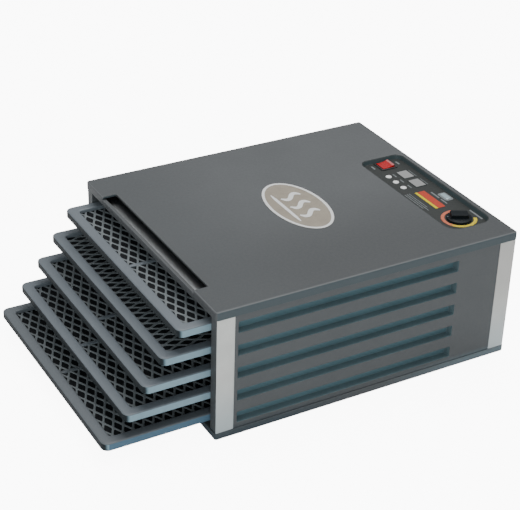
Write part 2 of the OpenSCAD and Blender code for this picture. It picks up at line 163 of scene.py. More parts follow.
def retint(m, col, axis, lo, hi, amount, extra=None):
    """Blend towards col where one part of the object-space normal (N.x, N.y, N.z) or of the position (P.x ...) lies between lo and hi."""
    nt = m.node_tree
    b = next(n for n in nt.nodes if n.type == 'BSDF_PRINCIPLED')
    tc = next(n for n in nt.nodes if n.type == 'TEX_COORD')
    def ramp(ax, a0, a1):
        sp = nt.nodes.new("ShaderNodeSeparateXYZ")
        nt.links.new(tc.outputs["Normal" if ax[0] == "N" else "Object"], sp.inputs[0])
        r = nt.nodes.new("ShaderNodeMapRange")
        r.interpolation_type = 'SMOOTHSTEP'
        r.inputs[1].default_value, r.inputs[2].default_value = a0, a1
        nt.links.new(sp.outputs["xyz".index(ax[1])], r.inputs[0])
        return r.outputs[0]
    f = ramp(axis, lo, hi)
    for e in (extra or []):
        f = _math(nt, 'MULTIPLY', f, ramp(*e))
    f = _math(nt, 'MULTIPLY', f, amount)
    src = b.inputs["Base Color"].links[0].from_socket
    nt.links.new(_mix(nt, f, src, col), b.inputs["Base Color"])
    return m

def metal(name, col, rough=0.3, brush=None, var=0.08, metallic=1.0, aniso=0.0, stain=0.15):
    m, nt, b, tc = _new(name)
    o = tc.outputs["Object"]
    big = _noise(nt, o, 18, 4)
    st = _noise(nt, o, 900, 3, 0.6, stretch=brush or (1, 1, 1))
    c1 = _mix(nt, _map(nt, big, 0.3, 0.7, 0, 1), tuple(c*(1 - var) for c in col), tuple(min(1, c*(1 + var)) for c in col))
    c2 = _mix(nt, _map(nt, st, 0.3, 0.7, 0, stain), c1, tuple(c*0.55 for c in col))
    ed = _edge(nt, 0.0006)
    c3 = _mix(nt, _math(nt, 'MULTIPLY', ed, 0.5), c2, tuple(min(1, c*1.3) for c in col))
    nt.links.new(c3, b.inputs["Base Color"])
    b.inputs["Metallic"].default_value = metallic
    nt.links.new(_map(nt, st, 0.25, 0.75, rough - 0.07, rough + 0.09), b.inputs["Roughness"])
    if aniso:
        b.inputs["Anisotropic"].default_value = aniso
    _bump(nt, b, st, 0.00004)
    return m

GREY = (0.0775, 0.0815, 0.084)
mats = {}
mats["cabinet"] = plastic("cabinet_grey", GREY, 0.50, 0.05, 1500, 0.00005, 0.30, spec=0.35, scuff=0.04)
# painted shade: the groove's back wall and ledge get separate bluish tones, set so the grooves show the shading seen in
# them
mats["recess_wall"] = plastic("recess_wall", (0.085, 0.150, 0.172), 0.5, 0.08, spec=0.3)
mats["recess_ledge"] = plastic("recess_ledge", (0.115, 0.165, 0.18), 0.55, 0.10, spec=0.3)
mats["trim"] = metal("trim_steel", (0.60, 0.595, 0.565), 0.40, brush=(6, 6, 0.12), stain=0.12, metallic=0.35)
mats["tray"] = plastic("tray_plastic", (0.125, 0.142, 0.158), 0.42, 0.07, 1300, 0.00005, 0.45, (0.26, 0.30, 0.33), spec=0.4, scuff=0.08)
# painted light: the outer walls of the trays get a lighter, bluer colour than their tops
mats["tray_side"] = plastic("tray_side", (0.240, 0.345, 0.400), 0.50, 0.06, 1300, 0.00004, 0.4, (0.36, 0.43, 0.47), spec=0.14)
mats["mesh"] = plastic("mesh_plastic", (0.150, 0.165, 0.172), 0.42, 0.08, 1500, 0.00004, 0.45, (0.26, 0.28, 0.29), spec=0.4)
# painted shade: a near-black plate inside each mesh fills its holes so they read dark
mats["web"] = plastic("mesh_web", (0.0065, 0.0075, 0.0090), 0.62, 0.2, 900, 0.00004, 0.0, spec=0.12)
mats["well"] = plastic("well_black", (0.0215, 0.0240, 0.0225), 0.50, 0.08, 1700, 0.00004, 0.30, (0.13, 0.15, 0.15), spec=0.3)
mats["black"] = plastic("black_plastic", (0.016, 0.017, 0.018), 0.38, 0.15, 1600, 0.00004, 0.4, (0.07, 0.07, 0.075))
mats["knob"] = plastic("knob_black", (0.0040, 0.0062, 0.0082), 0.46, 0.12, 1600, 0.00004, 0.35, (0.030, 0.034, 0.038), spec=0.14)
mats["inner"] = plastic("inner_plastic", (0.040, 0.042, 0.044), 0.5, 0.10, 1200, 0.00005, 0.3)
mats["rubber"] = plastic("rubber_black", (0.020, 0.020, 0.021), 0.75, 0.20, 900, 0.00012, 0.2, spec=0.3)
# painted highlight: a pinkish patch on the rocker's rear end
mats["rocker_end_highlight"] = plastic("rocker_end_highlight", (0.46, 0.12, 0.12), 0.30, 0.06, 1600, 0.00001, 0.25, (0.75, 0.4, 0.4), coat=0.4)
mats["red"] = plastic("rocker_red", (0.38, 0.002, 0.004), 0.26, 0.06, 1600, 0.00001, 0.25, (0.70, 0.08, 0.08), coat=0.12)
mats["white"] = plastic("button_white", (0.74, 0.74, 0.73), 0.35, 0.03, 1600, 0.00002, 0.2, (0.8, 0.8, 0.8))
mats["print_grey"] = plastic("print_grey", (0.165, 0.178, 0.183), 0.5, 0.06, 1700, 0.00001, 0.0, spec=0.3)
mats["orange"] = plastic("label_orange", (0.40, 0.042, 0.020), 0.45, 0.06, 1700, 0.00001, 0.1, spec=0.25)
mats["yellow"] = plastic("label_yellow", (0.56, 0.44, 0.006), 0.45, 0.05, 1700, 0.00001, 0.1, spec=0.25)
mats["display"] = plastic("display_grey", (0.255, 0.255, 0.25), 0.18, 0.05, 900, 0.00001, 0.15, coat=0.8)
mats["lens"] = plastic("lens_clear", (0.30, 0.39, 0.42), 0.10, 0.08, 500, 0.00001, 0.4, (0.8, 0.85, 0.9), coat=1.0)
mats["badge_fill"] = plastic("badge_fill", (0.262, 0.228, 0.180), 0.42, 0.10, 700, 0.00003, 0.1, mottling=90)
mats["badge_white"] = plastic("badge_white", (0.66, 0.66, 0.65), 0.36, 0.03, 1500, 0.00002, 0.1)
mats["screw"] = metal("screw_steel", (0.62, 0.62, 0.63), 0.28)
mats["sheet"] = metal("sheet_aluminium", (0.42, 0.43, 0.44), 0.38, brush=(4, 0.2, 4))
mats["fan"] = metal("fan_aluminium", (0.6, 0.61, 0.62), 0.33, brush=(2, 2, 2))
mats["iron"] = metal("motor_iron", (0.10, 0.10, 0.11), 0.5, metallic=0.6)
mats["bronze"] = metal("bush_bronze", (0.55, 0.36, 0.18), 0.4)
mats["heater"] = metal("heater_sheath", (0.20, 0.17, 0.15), 0.5, stain=0.5)
mats["ceramic"] = plastic("ceramic_beige", (0.66, 0.62, 0.52), 0.3, 0.06, 800, 0.00003, 0.2, (0.75, 0.7, 0.6))
mats["board"] = plastic("board_green", (0.02, 0.13, 0.055), 0.35, 0.12, 600, 0.00004, 0.2, (0.1, 0.3, 0.15))
mats["plated"] = metal("thermostat_steel", (0.5, 0.5, 0.49), 0.35)

# painted shade: the outer walls of the trays are painted nearly black where they face the front
retint(mats["tray_side"], (0.0035, 0.0055, 0.0065), "Ny", -0.20, -0.75, 0.97)
# painted highlight: the rounded rim of the cover is painted lighter
retint(mats["cabinet"], (0.155, 0.160, 0.165), "Nz", 0.35, 0.62, 0.55, [("Nz", 0.97, 0.80)])
# painted shade: the cabinet is painted darker and bluer near the floor towards the front
retint(mats["cabinet"], (0.030, 0.048, 0.060), "Pz", 0.020, 0.004, 0.80, [("Py", 0.02, -0.16)])
retint(mats["cabinet"], (0.048, 0.068, 0.076), "Nx", 0.70, 0.95, 0.80, [("Pz", 0.191, 0.193)])
# painted light: faces of the black well moulding that do not face up are painted lighter than its floor
retint(mats["well"], (0.046, 0.066, 0.070), "Nz", 0.85, 0.30, 1.0)
# painted shade: the lower part of the bright strips is painted darker and bluer near the floor
retint(mats["trim"], (0.40, 0.50, 0.54), "Pz", 0.110, 0.012, 0.50)
# painted shade: the rear strips are painted darker than the front ones
retint(mats["trim"], (0.44, 0.42, 0.395), "Py", 0.05, 0.10, 0.70, [("Pz", 0.02, 0.16)])
# painted light: the cabinet is painted lighter and bluer near the floor towards the rear
retint(mats["cabinet"], (0.130, 0.168, 0.185), "Pz", 0.020, 0.006, 0.90, [("Py", -0.02, 0.20)])
# painted shade: the top faces are painted darker towards the right side and towards the front
retint(mats["cabinet"], (0.044, 0.047, 0.049), "Px", -0.05, 0.17, 0.85, [("Nz", 0.90, 0.99)])
retint(mats["cabinet"], (0.056, 0.061, 0.064), "Py", -0.05, -0.20, 0.60, [("Nz", 0.90, 0.99)])
# painted shade: the lowest tray is painted darker, on its side walls and on its top
retint(mats["tray_side"], (0.060, 0.120, 0.180), "Pz", 0.054, 0.034, 0.85, [("Ny", -0.3, -0.1)])
retint(mats["tray"], (0.098, 0.108, 0.116), "Pz", 0.054, 0.034, 0.80)

def dial_material():
    """Printed scale that runs from yellow through orange around the knob."""
    m, nt, b, tc = _new("dial_yellow")
    sep = nt.nodes.new("ShaderNodeSeparateXYZ")
    sub = nt.nodes.new("ShaderNodeVectorMath"); sub.operation = 'SUBTRACT'
    sub.inputs[1].default_value = (KX*MM, KY*MM, 0)
    nt.links.new(tc.outputs["Object"], sub.inputs[0])
    nt.links.new(sub.outputs[0], sep.inputs[0])
    ang = _math(nt, 'ARCTAN2', sep.outputs[1], sep.outputs[0])      # -pi..pi
    rp = nt.nodes.new("ShaderNodeValToRGB")
    rp.color_ramp.elements[0].position = 0.0
    rp.color_ramp.elements[0].color = (0.50, 0.10, 0.055, 1)
    e = rp.color_ramp.elements.new(0.31); e.color = (0.52, 0.12, 0.06, 1)
    e = rp.color_ramp.elements.new(0.37); e.color = (0.58, 0.43, 0.006, 1)
    e = rp.color_ramp.elements.new(0.80); e.color = (0.58, 0.45, 0.006, 1)
    rp.color_ramp.elements[-1].position = 0.86
    rp.color_ramp.elements[-1].color = (0.50, 0.10, 0.055, 1)
    nt.links.new(_map(nt, ang, -math.pi, math.pi, 0, 1), rp.inputs[0])
    n = _noise(nt, tc.outputs["Object"], 700, 3)
    c = _mix(nt, _map(nt, n, 0.3, 0.7, 0, 0.14), rp.outputs[0], (0.3, 0.2, 0.03))
    nt.links.new(c, b.inputs["Base Color"])
    nt.links.new(_map(nt, n, 0.3, 0.7, 0.32, 0.46), b.inputs["Roughness"])
    _bump(nt, b, n, 0.00001)
    return m

# ------------------------------------------------------------------ mesh tools (millimetres in, metres out)
def rr(a, b, r, n=6, cx=0, cy=0):
    """Rounded rectangle, half sizes a and b, counter-clockwise, n+1 points a corner."""
    pts = []
    for k, (sx, sy) in enumerate(((1, 1), (-1, 1), (-1, -1), (1, -1))):
        ox, oy = sx*(a - r), sy*(b - r)
        for i in range(n + 1):
            t = math.radians(90*k + 90*i/n)
            pts.append((cx + ox + r*math.cos(t), cy + oy + r*math.sin(t)))
    return pts

def bm_new():
    return bmesh.new()

def ring(bm, pts, z):
    return [bm.verts.new((x, y, z)) for x, y in pts]

def skin(bm, rings, closed=False, cap0=True, cap1=True, mi=0):
    n = len(rings[0])
    pairs = list(zip(rings[:-1], rings[1:]))
    if closed:
        pairs.append((rings[-1], rings[0]))
    fs = []
    for a, b in pairs:
        for i in range(n):
            j = (i + 1) % n
            fs.append(bm.faces.new((a[i], a[j], b[j], b[i])))
    if not closed:
        if cap0:
            fs.append(bm.faces.new(list(reversed(rings[0]))))
        if cap1:
            fs.append(bm.faces.new(rings[-1]))
    for f in fs:
        f.material_index = mi
    return fs

def prism(bm, pts, z0, z1, mi=0):
    return skin(bm, [ring(bm, pts, z0), ring(bm, pts, z1)], mi=mi)

def bbox(bm, a, b, mi=0):
    x0, y0, z0 = (min(p, q) for p, q in zip(a, b))
    x1, y1, z1 = (max(p, q) for p, q in zip(a, b))
    return prism(bm, [(x1, y1), (x0, y1), (x0, y0), (x1, y0)], z0, z1, mi)

def lathe(bm, prof, seg=64, cx=0, cy=0, mi=0, closed=False):
    """prof: (radius, z) from the axis at one end to the axis at the other."""
    rings = []
    for r, z in prof:
        rings.append([bm.verts.new((cx + r*math.cos(2*math.pi*i/seg), cy + r*math.sin(2*math.pi*i/seg), z)) for i in range(seg)])
    return skin(bm, rings, closed=closed, mi=mi)

def turn(bm, m):
    bmesh.ops.transform(bm, matrix=m, verts=bm.verts)

def place(name, bm, materials, merge=True):
    if merge:
        bmesh.ops.remove_doubles(bm, verts=bm.verts, dist=1e-5)
    bmesh.ops.recalc_face_normals(bm, faces=bm.faces)
    me = bpy.data.meshes.new(name)
    bm.to_mesh(me)
    bm.free()
    me.transform(Matrix.Scale(MM, 4))
    ob = bpy.data.objects.new(name, me)
    bpy.context.scene.collection.objects.link(ob)
    for m in (materials if isinstance(materials, (list, tuple)) else [materials]):
        me.materials.append(m)
    return ob

def bake(ob):
    bpy.context.view_layer.update()
    dg = bpy.context.evaluated_depsgraph_get()
    me = bpy.data.meshes.new_from_object(ob.evaluated_get(dg), preserve_all_data_layers=True, depsgraph=dg)
    ob.modifiers.clear()
    old = ob.data
    ob.data = me
    me.name = ob.name
    if old.users == 0:
        bpy.data.meshes.remove(old)
    return ob

def boolean(ob, cutters, op='DIFFERENCE'):
    for c in cutters:
        md = ob.modifiers.new("b", 'BOOLEAN')
        md.operation = op
        md.solver = 'EXACT'
        md.object = c
        bake(ob)
        bpy.data.objects.remove(c, do_unlink=True)
    return ob

def soften(ob, w, seg=2, angle=40):
    """Round every sharp edge, w in millimetres."""
    md = ob.modifiers.new("bev", 'BEVEL')
    md.width = w*MM
    md.segments = seg
    md.limit_method = 'ANGLE'
    md.angle_limit = math.radians(angle)
    md.miter_outer = 'MITER_ARC'
    md.use_clamp_overlap = True
    return bake(ob)

def shade(ob, angle=38, weighted=True):
    me = ob.data
    me.polygons.foreach_set("use_smooth", [True]*len(me.polygons))
    me.set_sharp_from_angle(angle=math.radians(angle))
    if weighted:
        w = ob.modifiers.new("wn", 'WEIGHTED_NORMAL')
        w.keep_sharp = True
        w.weight = 80
        bake(ob)
    return ob

def done(ob, body, slot, *nodes, angle=38, weighted=True):
    shade(ob, angle, weighted)
    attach(ob, body)
    if nodes:
        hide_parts(*nodes)
    return ob

# ------------------------------------------------------------------ the object's main sizes (mm)
W, D, ZB, ZT = 422.0, 490.0, 0.0, 205.0
HW, HD = W/2, D/2
WZ = ZT - 7.0
KX, KY = 131.0, 199.0
SIDE = 209.4
FACE = 243.4
TRAY_Z0, PITCH = 19.8, 36.5
OUT = [70.3, 94.4, 120.3, 147.7, 179.7]
GZ, GP, GH = 19.0, 36.25, 17.6          # side grooves: lowest bottom, pitch, height
BTN = (-29.2, -9.0, 11.6)
BY = 182.1
mats["dial"] = dial_material()

def well_outline(g, n=7):
    x0, x1, y0, y1 = -80 + g, 167.5 - g, 158.5 + g, 235.2 - g
    rl, rr_ = 14 - g, 20 - g
    pts = []
    for k, (cx, cy, r) in enumerate(((x1 - rr_, y1 - rr_, rr_), (x0 + rl, y1 - rl, rl), (x0 + rl, y0 + rl, rl), (x1 - rr_, y0 + rr_, rr_))):
        for i in range(n + 1):
            t = math.radians(90*k + 90*i/n)
            pts.append((cx + r*math.cos(t), cy + r*math.sin(t)))
    return pts

# ------------------------------------------------------------------ top cover
def top_cover():
    bm = bm_new()
    def o(off, z, r=None):
        return ring(bm, rr(HW - off, HD - off, max(0.6, (4 - off) if r is None else r), 6), z)
    R = 3.0
    rings = [o(1.5, ZT - 3), o(1.5, ZT - 13 + 0.3), o(1.2, ZT - 13), o(0.3, ZT - 13), o(0, ZT - 12.6)]
    for i in range(0, 7):
        t = math.radians(90*i/6)
        rings.append(o(R - R*math.cos(t), ZT - R + R*math.sin(t)))
    skin(bm, rings)
    ob = place("top_cover_shell", bm, mats["cabinet"])
    c = bm_new()
    pts = [(-150, -260), (146, -260), (146, -225.5)] + [(146 - 2.5 + 2.5*math.cos(math.radians(a)), -225.5 + 2.5*math.sin(math.radians(a))) for a in (30, 60, 90)] + \
          [(-147.5 + 2.5*math.cos(math.radians(a)), -225.5 + 2.5*math.sin(math.radians(a))) for a in (90, 120, 150)] + [(-150, -225.5)]
    prism(c, pts, ZT - 20, ZT + 5)
    c1 = place("cut1", c, mats["cabinet"])
    c = bm_new()
    prism(c, well_outline(0), ZT - 12, ZT + 5)
    c2 = place("cut2", c, mats["cabinet"])
    boolean(ob, [c1, c2])
    soften(ob, 0.55, 3, 50)
    done(ob, "cabinet", "cabinet_grey", "top_cover")

# ------------------------------------------------------------------ base pan
def base_pan():
    bm = bm_new()
    def o(off, z):
        return ring(bm, rr(HW - off, HD - off, max(0.6, 4 - off), 6), z)
    rings = [o(1.5, ZB + 3), o(1.5, ZB + 10.8), o(1.3, ZB + 11), o(0.3, ZB + 11), o(0, ZB + 10.7), o(0, ZB + 2)]
    for i in range(1, 5):
        t = math.radians(90*i/4)
        rings.append(o(2 - 2*math.cos(t), ZB + 2 - 2*math.sin(t)))
    skin(bm, rings)
    ob = place("base_shell", bm, mats["cabinet"])
    c = bm_new()
    for sx in (-1, 1):
        for y in (-231.5, 229.5):
            lathe(c, [(4.6, ZB - 1), (1.85, ZB + 1.75), (1.85, ZB + 5)], 32, sx*200, y)
    boolean(ob, [place("cut3", c, mats["cabinet"])])
    soften(ob, 0.4, 2, 55)
    done(ob, "cabinet", "cabinet_grey", "base_pan")

# ------------------------------------------------------------------ side panels with pressed recesses
def side_panel(sign, name, node):
    bm = bm_new()
    bbox(bm, (SIDE - 2.9, -FACE, ZB + 3), (SIDE, FACE, ZT - 3))
    ob = place(name, bm, [mats["cabinet"], mats["recess_wall"], mats["recess_ledge"]])
    add = bm_new()
    for k in range(5):
        z = GZ + k*GP
        bbox(add, (SIDE - 14.5, -213, z - 2), (SIDE - 2.4, -211 + 357.6, z + GH + 2))
    boolean(ob, [place("add", add, mats["cabinet"])], 'UNION')
    cut = bm_new()
    for k in range(5):
        z = GZ + k*GP
        # a recess with round inner corners and a slight draft
        y0, y1 = -211, -211 + 355.6
        cy, b = (y0 + y1)/2, (y1 - y0)/2
        rs = []
        for x, g in ((SIDE + 2, -0.0), (SIDE - 0.01, 0.0), (SIDE - 12.0, 0.35), (SIDE - 12.5, 0.8)):
            rs.append([cut.verts.new((x, yy, zz)) for yy, zz in rr(b - g, GH/2 - g, 1.4, 3, cy, z + GH/2)])
        skin(cut, rs)
    boolean(ob, [place("cut4", cut, mats["cabinet"])])
    # faces inside the grooves take the painted-shade tones: back wall in slot 1, ledges and ends in slot 2
    for p in ob.data.polygons:
        c = p.center / MM
        n = p.normal
        if c.x < SIDE - 0.05 and c.x > SIDE - 12.9 and -212 < c.y < 146:
            inside = any(GZ - 0.3 + k*GP < c.z < GZ + 0.3 + GH + k*GP for k in range(5))
            if inside and not (abs(n.x) > 0.9 and n.x < 0):
                p.material_index = 1 if n.x > 0.8 else 2
    soften(ob, 0.5, 2, 50)
    if sign < 0:
        ob.data.transform(Matrix.Scale(-1, 4, (1, 0, 0)))
        ob.data.flip_normals()
    done(ob, "cabinet", "cabinet_grey", node)

# ------------------------------------------------------------------ bright corner strips
def trim(sign, front, node):
    bm = bm_new()
    y0, y1 = (-243.4, -216.4) if front else (216.4, 243.4)
    x0, x1 = SIDE, SIDE + 1
    z0, z1 = ZB + 11.2, ZT - 13.2
    # a strip with a shallow crown and folded long edges
    prof = [(x0, y0), (x0, y1)]
    top = []
    for i in range(13):
        t = i/12
        yy = y1 + (y0 - y1)*t
        edge = min(t, 1 - t)*27.0
        top.append((x0 + min(1.0, 0.45 + 0.55*min(1, edge/1.2)), yy))
    pts = prof + top
    prism(bm, pts, z0, z1)
    ob = place(f"{node}_strip", bm, mats["trim"])
    soften(ob, 0.18, 2, 35)
    if sign < 0:
        ob.data.transform(Matrix.Scale(-1, 4, (1, 0, 0)))
        ob.data.flip_normals()
    done(ob, "cabinet", "trim_steel", node)

# ------------------------------------------------------------------ posts, sill and bar of the mouth
def simple_box(name, node, a, b, mat, slot, w=0.8, body="cabinet"):
    bm = bm_new()
    bbox(bm, a, b)
    ob = place(name, bm, mat)
    soften(ob, w, 3, 40)
    return done(ob, body, slot, node)

def mouth():
    for s, n in ((1, "right"), (-1, "left")):
        simple_box(f"front_post_{n}_cover", f"front_post_{n}", (s*193.5, -FACE, 3), (s*206.5, -219.5, ZT - 13), mats["cabinet"], "cabinet_grey", 0.9)
    simple_box("front_sill_bar", "front_sill", (-193.2, -FACE, 3), (193.2, -219.5, 10.5), mats["cabinet"], "cabinet_grey", 1.0)
    # the bar's section in Y and Z: upright front, a top that rolls off to the rear
    def section(y0, drop, zb_):
        top = [(y0, ZT - 5.6 - drop), (y0 + 0.25, ZT - 4.95 - drop), (y0 + 0.8, ZT - 4.55 - drop)]
        for y, dz in ((-242.6, 4.5), (-241.0, 4.75), (-239.6, 5.35), (-238.4, 6.3), (-237.5, 7.5), (-236.8, 9.0), (-236.35, 10.6)):
            top.append((y, ZT - dz - drop))
        return [(y0 + 0.9, zb_), (y0 + 0.2, zb_ + 0.3), (y0, zb_ + 1.0)] + top + [(-236.1, zb_ + 1.2), (-236.6, zb_)]
    def bar(bm, x0, x1, sec):
        a = [bm.verts.new((x0, y, z)) for y, z in sec]
        b = [bm.verts.new((x1, y, z)) for y, z in sec]
        skin(bm, [a, b])
    bm = bm_new()
    bar(bm, -206.5, 206.5, section(-243.3, 0.6, ZT - 13.0))
    ob = place("door_bar", bm, mats["cabinet"])
    bm = bm_new()
    bar(bm, -149.7, 145.7, section(-245.0, 0.0, ZT - 14.5))
    boolean(ob, [place("lip", bm, mats["cabinet"])], 'UNION')
    soften(ob, 0.3, 2, 50)
    done(ob, "cabinet", "cabinet_grey", "door_crossbar")

# ------------------------------------------------------------------ trays
def tray_frame_mesh():
    """Moulded frame: round shoulders, a raised inner lip and a groove for the mesh. Made at the origin, underside at z = 0."""
    bm = bm_new()
    A, B = 190.0, 189.0
    def o(off, z):
        r = 10 - 4*off/16
        return ring(bm, rr(A - off, B - off, r, 9), z)
    sec = [(0.0, 1.2), (0.0, 9.6), (0.25, 10.7), (0.9, 11.5), (1.9, 11.95), (3.2, 12.0),
           (12.6, 12.0), (14.2, 11.9), (15.2, 11.4), (15.75, 10.7), (16.0, 9.8), (16.0, 6.5), (13.2, 6.5), (13.2, 4.3), (16.0, 4.3),
           (16.0, 1.0), (15.6, 0.3), (14.8, 0.0), (1.4, 0.0), (0.5, 0.35)]
    rings = [o(a, z) for a, z in sec]
    fs = skin(bm, rings, closed=True)
    n = len(rings[0])
    # outer wall faces take the lighter tray_side colour: painted light
    for i, f in enumerate(fs):
        k = i // n
        if k in (0, 1, 19, 18):
            f.material_index = 1
    return bm

def mesh_lattice(ax, ay, w, half_x, half_y, rib):
    """Diamond lattice with round-shouldered strands, from z = 4.4 to 6.4. ax, ay: diagonals of a cell."""
    bm = bm_new()
    a, b = ax/2, ay/2
    s = 1 - w*math.hypot(a, b)/(2*a*b)*1.0
    L = math.hypot(a, b)
    cu, cv = a/L, b/L
    c0 = 1.6                       # corner cut of a hole
    z0, z1 = 4.4, 6.4
    def hole(sc, cut):
        A, B = a*sc, b*sc
        pts = []
        cor = [(A, 0), (0, B), (-A, 0), (0, -B)]
        for i in range(4):
            p, q, r = Vector((*cor[i - 1], 0)), Vector((*cor[i], 0)), Vector((*cor[(i + 1) % 4], 0))
            d1, d2 = (p - q).normalized(), (r - q).normalized()
            pts.append((q + d1*cut)[:2])
            pts.append((q + d2*cut)[:2])
        return pts
    def outer():
        pts = []
        cor = [(a, 0), (0, b), (-a, 0), (0, -b)]
        for i in range(4):
            p, q, r = Vector((*cor[i - 1], 0)), Vector((*cor[i], 0)), Vector((*cor[(i + 1) % 4], 0))
            pts.append((q + (p - q)*0.12)[:2])
            pts.append((q + (r - q)*0.12)[:2])
        return pts
    nx, ny = int(half_x/ax) + 2, int(half_y/ay) + 2
    O = outer()
    H0 = hole(s, c0)
    H1 = hole(s + 0.5*(1 - s), c0)
    cor = [(a, 0), (0, b), (-a, 0), (0, -b)]
    for i in range(-nx, nx + 1):
        for j in range(-ny, ny + 1):
            for h in (0, 0.5):
                cx, cy = (i + h)*ax, (j + h)*ay
                if abs(cx) - a > half_x or abs(cy) - b > half_y:
                    continue
                def rg(P, z):
                    return [bm.verts.new((cx + p[0], cy + p[1], z)) for p in P]
                def cr(z):
                    return [bm.verts.new((cx + p[0], cy + p[1], z)) for p in cor]
                up = [rg(O, z1), rg(H1, z1 - 0.12), rg(H0, z1 - 0.65), rg(H0, z0 + 0.55), rg(H1, z0 + 0.1), rg(O, z0)]
                for A_, B_ in zip(up[:-1], up[1:]):
                    for k in range(8):
                        m = (k + 1) % 8
                        bm.faces.new((A_[k], A_[m], B_[m], B_[k]))
                ct, cb = cr(z1), cr(z0)
                for q in range(4):
                    bm.faces.new((up[0][2*q], ct[q], up[0][2*q + 1]))
                    bm.faces.new((up[5][2*q + 1], cb[q], up[5][2*q]))
    bmesh.ops.remove_doubles(bm, verts=bm.verts, dist=0.01)
    for co, no in (((half_x, 0, 0), (1, 0, 0)), ((-half_x, 0, 0), (-1, 0, 0)), ((0, half_y, 0), (0, 1, 0)), ((0, -half_y, 0), (0, -1, 0))):
        bmesh.ops.bisect_plane(bm, geom=list(bm.verts) + list(bm.edges) + list(bm.faces), plane_co=co, plane_no=no, clear_outer=True, dist=1e-4)
    edges = [e for e in bm.edges if e.is_boundary]
    if edges:
        bmesh.ops.holes_fill(bm, edges=edges, sides=0)
    return bm

def trays():
    fm = tray_frame_mesh()
    f0 = place("tray_frame_base", fm, [mats["tray"], mats["tray_side"]])
    shade(f0, 40)
    frame_me = f0.data
    def lattice(name, rot):
        bm = mesh_lattice(30.2, 15.05, 3.0, 176.4, 175.4, True) if not rot else mesh_lattice(15.05, 30.2, 3.0, 176.4, 175.4, True)
        ob = place(name, bm, mats["mesh"], merge=False)
        shade(ob, 50, False)
        return ob
    l0 = lattice("lat0", False)
    l1 = lattice("lat1", True)
    # near-black plate inside the mesh that darkens its holes: painted shade
    bm = bm_new()
    skin(bm, [ring(bm, rr(176.9 - o_, 175.9 - o_, 7.6, 5), z) for o_, z in ((0.15, 4.42), (0, 4.5), (0, 4.95), (0.1, 5.02))])
    wb = place("web0", bm, mats["web"])
    shade(wb, 40)
    # rib across the middle
    def ribs(rot):
        bm = bm_new()
        a, b = (3.2, 173.8) if not rot else (173.8, 3.2)
        pr = [(0.0, 4.1), (0.0, 6.3), (0.5, 6.9), (1.1, 7.1)]
        rings = [ring(bm, rr(a - o, b - o, 0.8, 2), z) for o, z in pr]
        skin(bm, rings)
        return bm
    rb = []
    for rot in (0, 1):
        o = place(f"rib{rot}", ribs(rot), mats["tray"])
        shade(o, 40)
        rb.append(o)
    for i in range(5):
        z = TRAY_Z0 + (4 - i)*PITCH
        y = -219.5 - OUT[i] + 189.0
        mv = Matrix.Translation((0, y*MM, z*MM))
        for base, nm, node, slot in ((wb, f"tray_web_{i+1}", None, "mesh_plastic"), (f0, f"tray_frame_{i+1}_moulding", f"tray_frame_{i+1}", "tray_plastic"),
                                     (l1 if i == 1 else l0, f"tray_mesh_{i+1}_lattice", f"tray_mesh_{i+1}", "mesh_plastic"),
                                     (rb[1 if i == 1 else 0], f"tray_rib_{i+1}", None, "tray_plastic")):
            me = base.data.copy()
            me.transform(mv)
            ob = bpy.data.objects.new(nm, me)
            me.name = nm
            bpy.context.scene.collection.objects.link(ob)
            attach(ob, f"tray_{i+1}")
            if node:
                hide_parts(node)
    for o in [f0, l0, l1, wb] + rb:
        bpy.data.objects.remove(o, do_unlink=True)

# ------------------------------------------------------------------ badge
def ellipse(a, b, n=120, cx=1.0, cy=0.2):
    return [(cx + a*math.cos(2*math.pi*i/n), cy + b*math.sin(2*math.pi*i/n)) for i in range(n)]

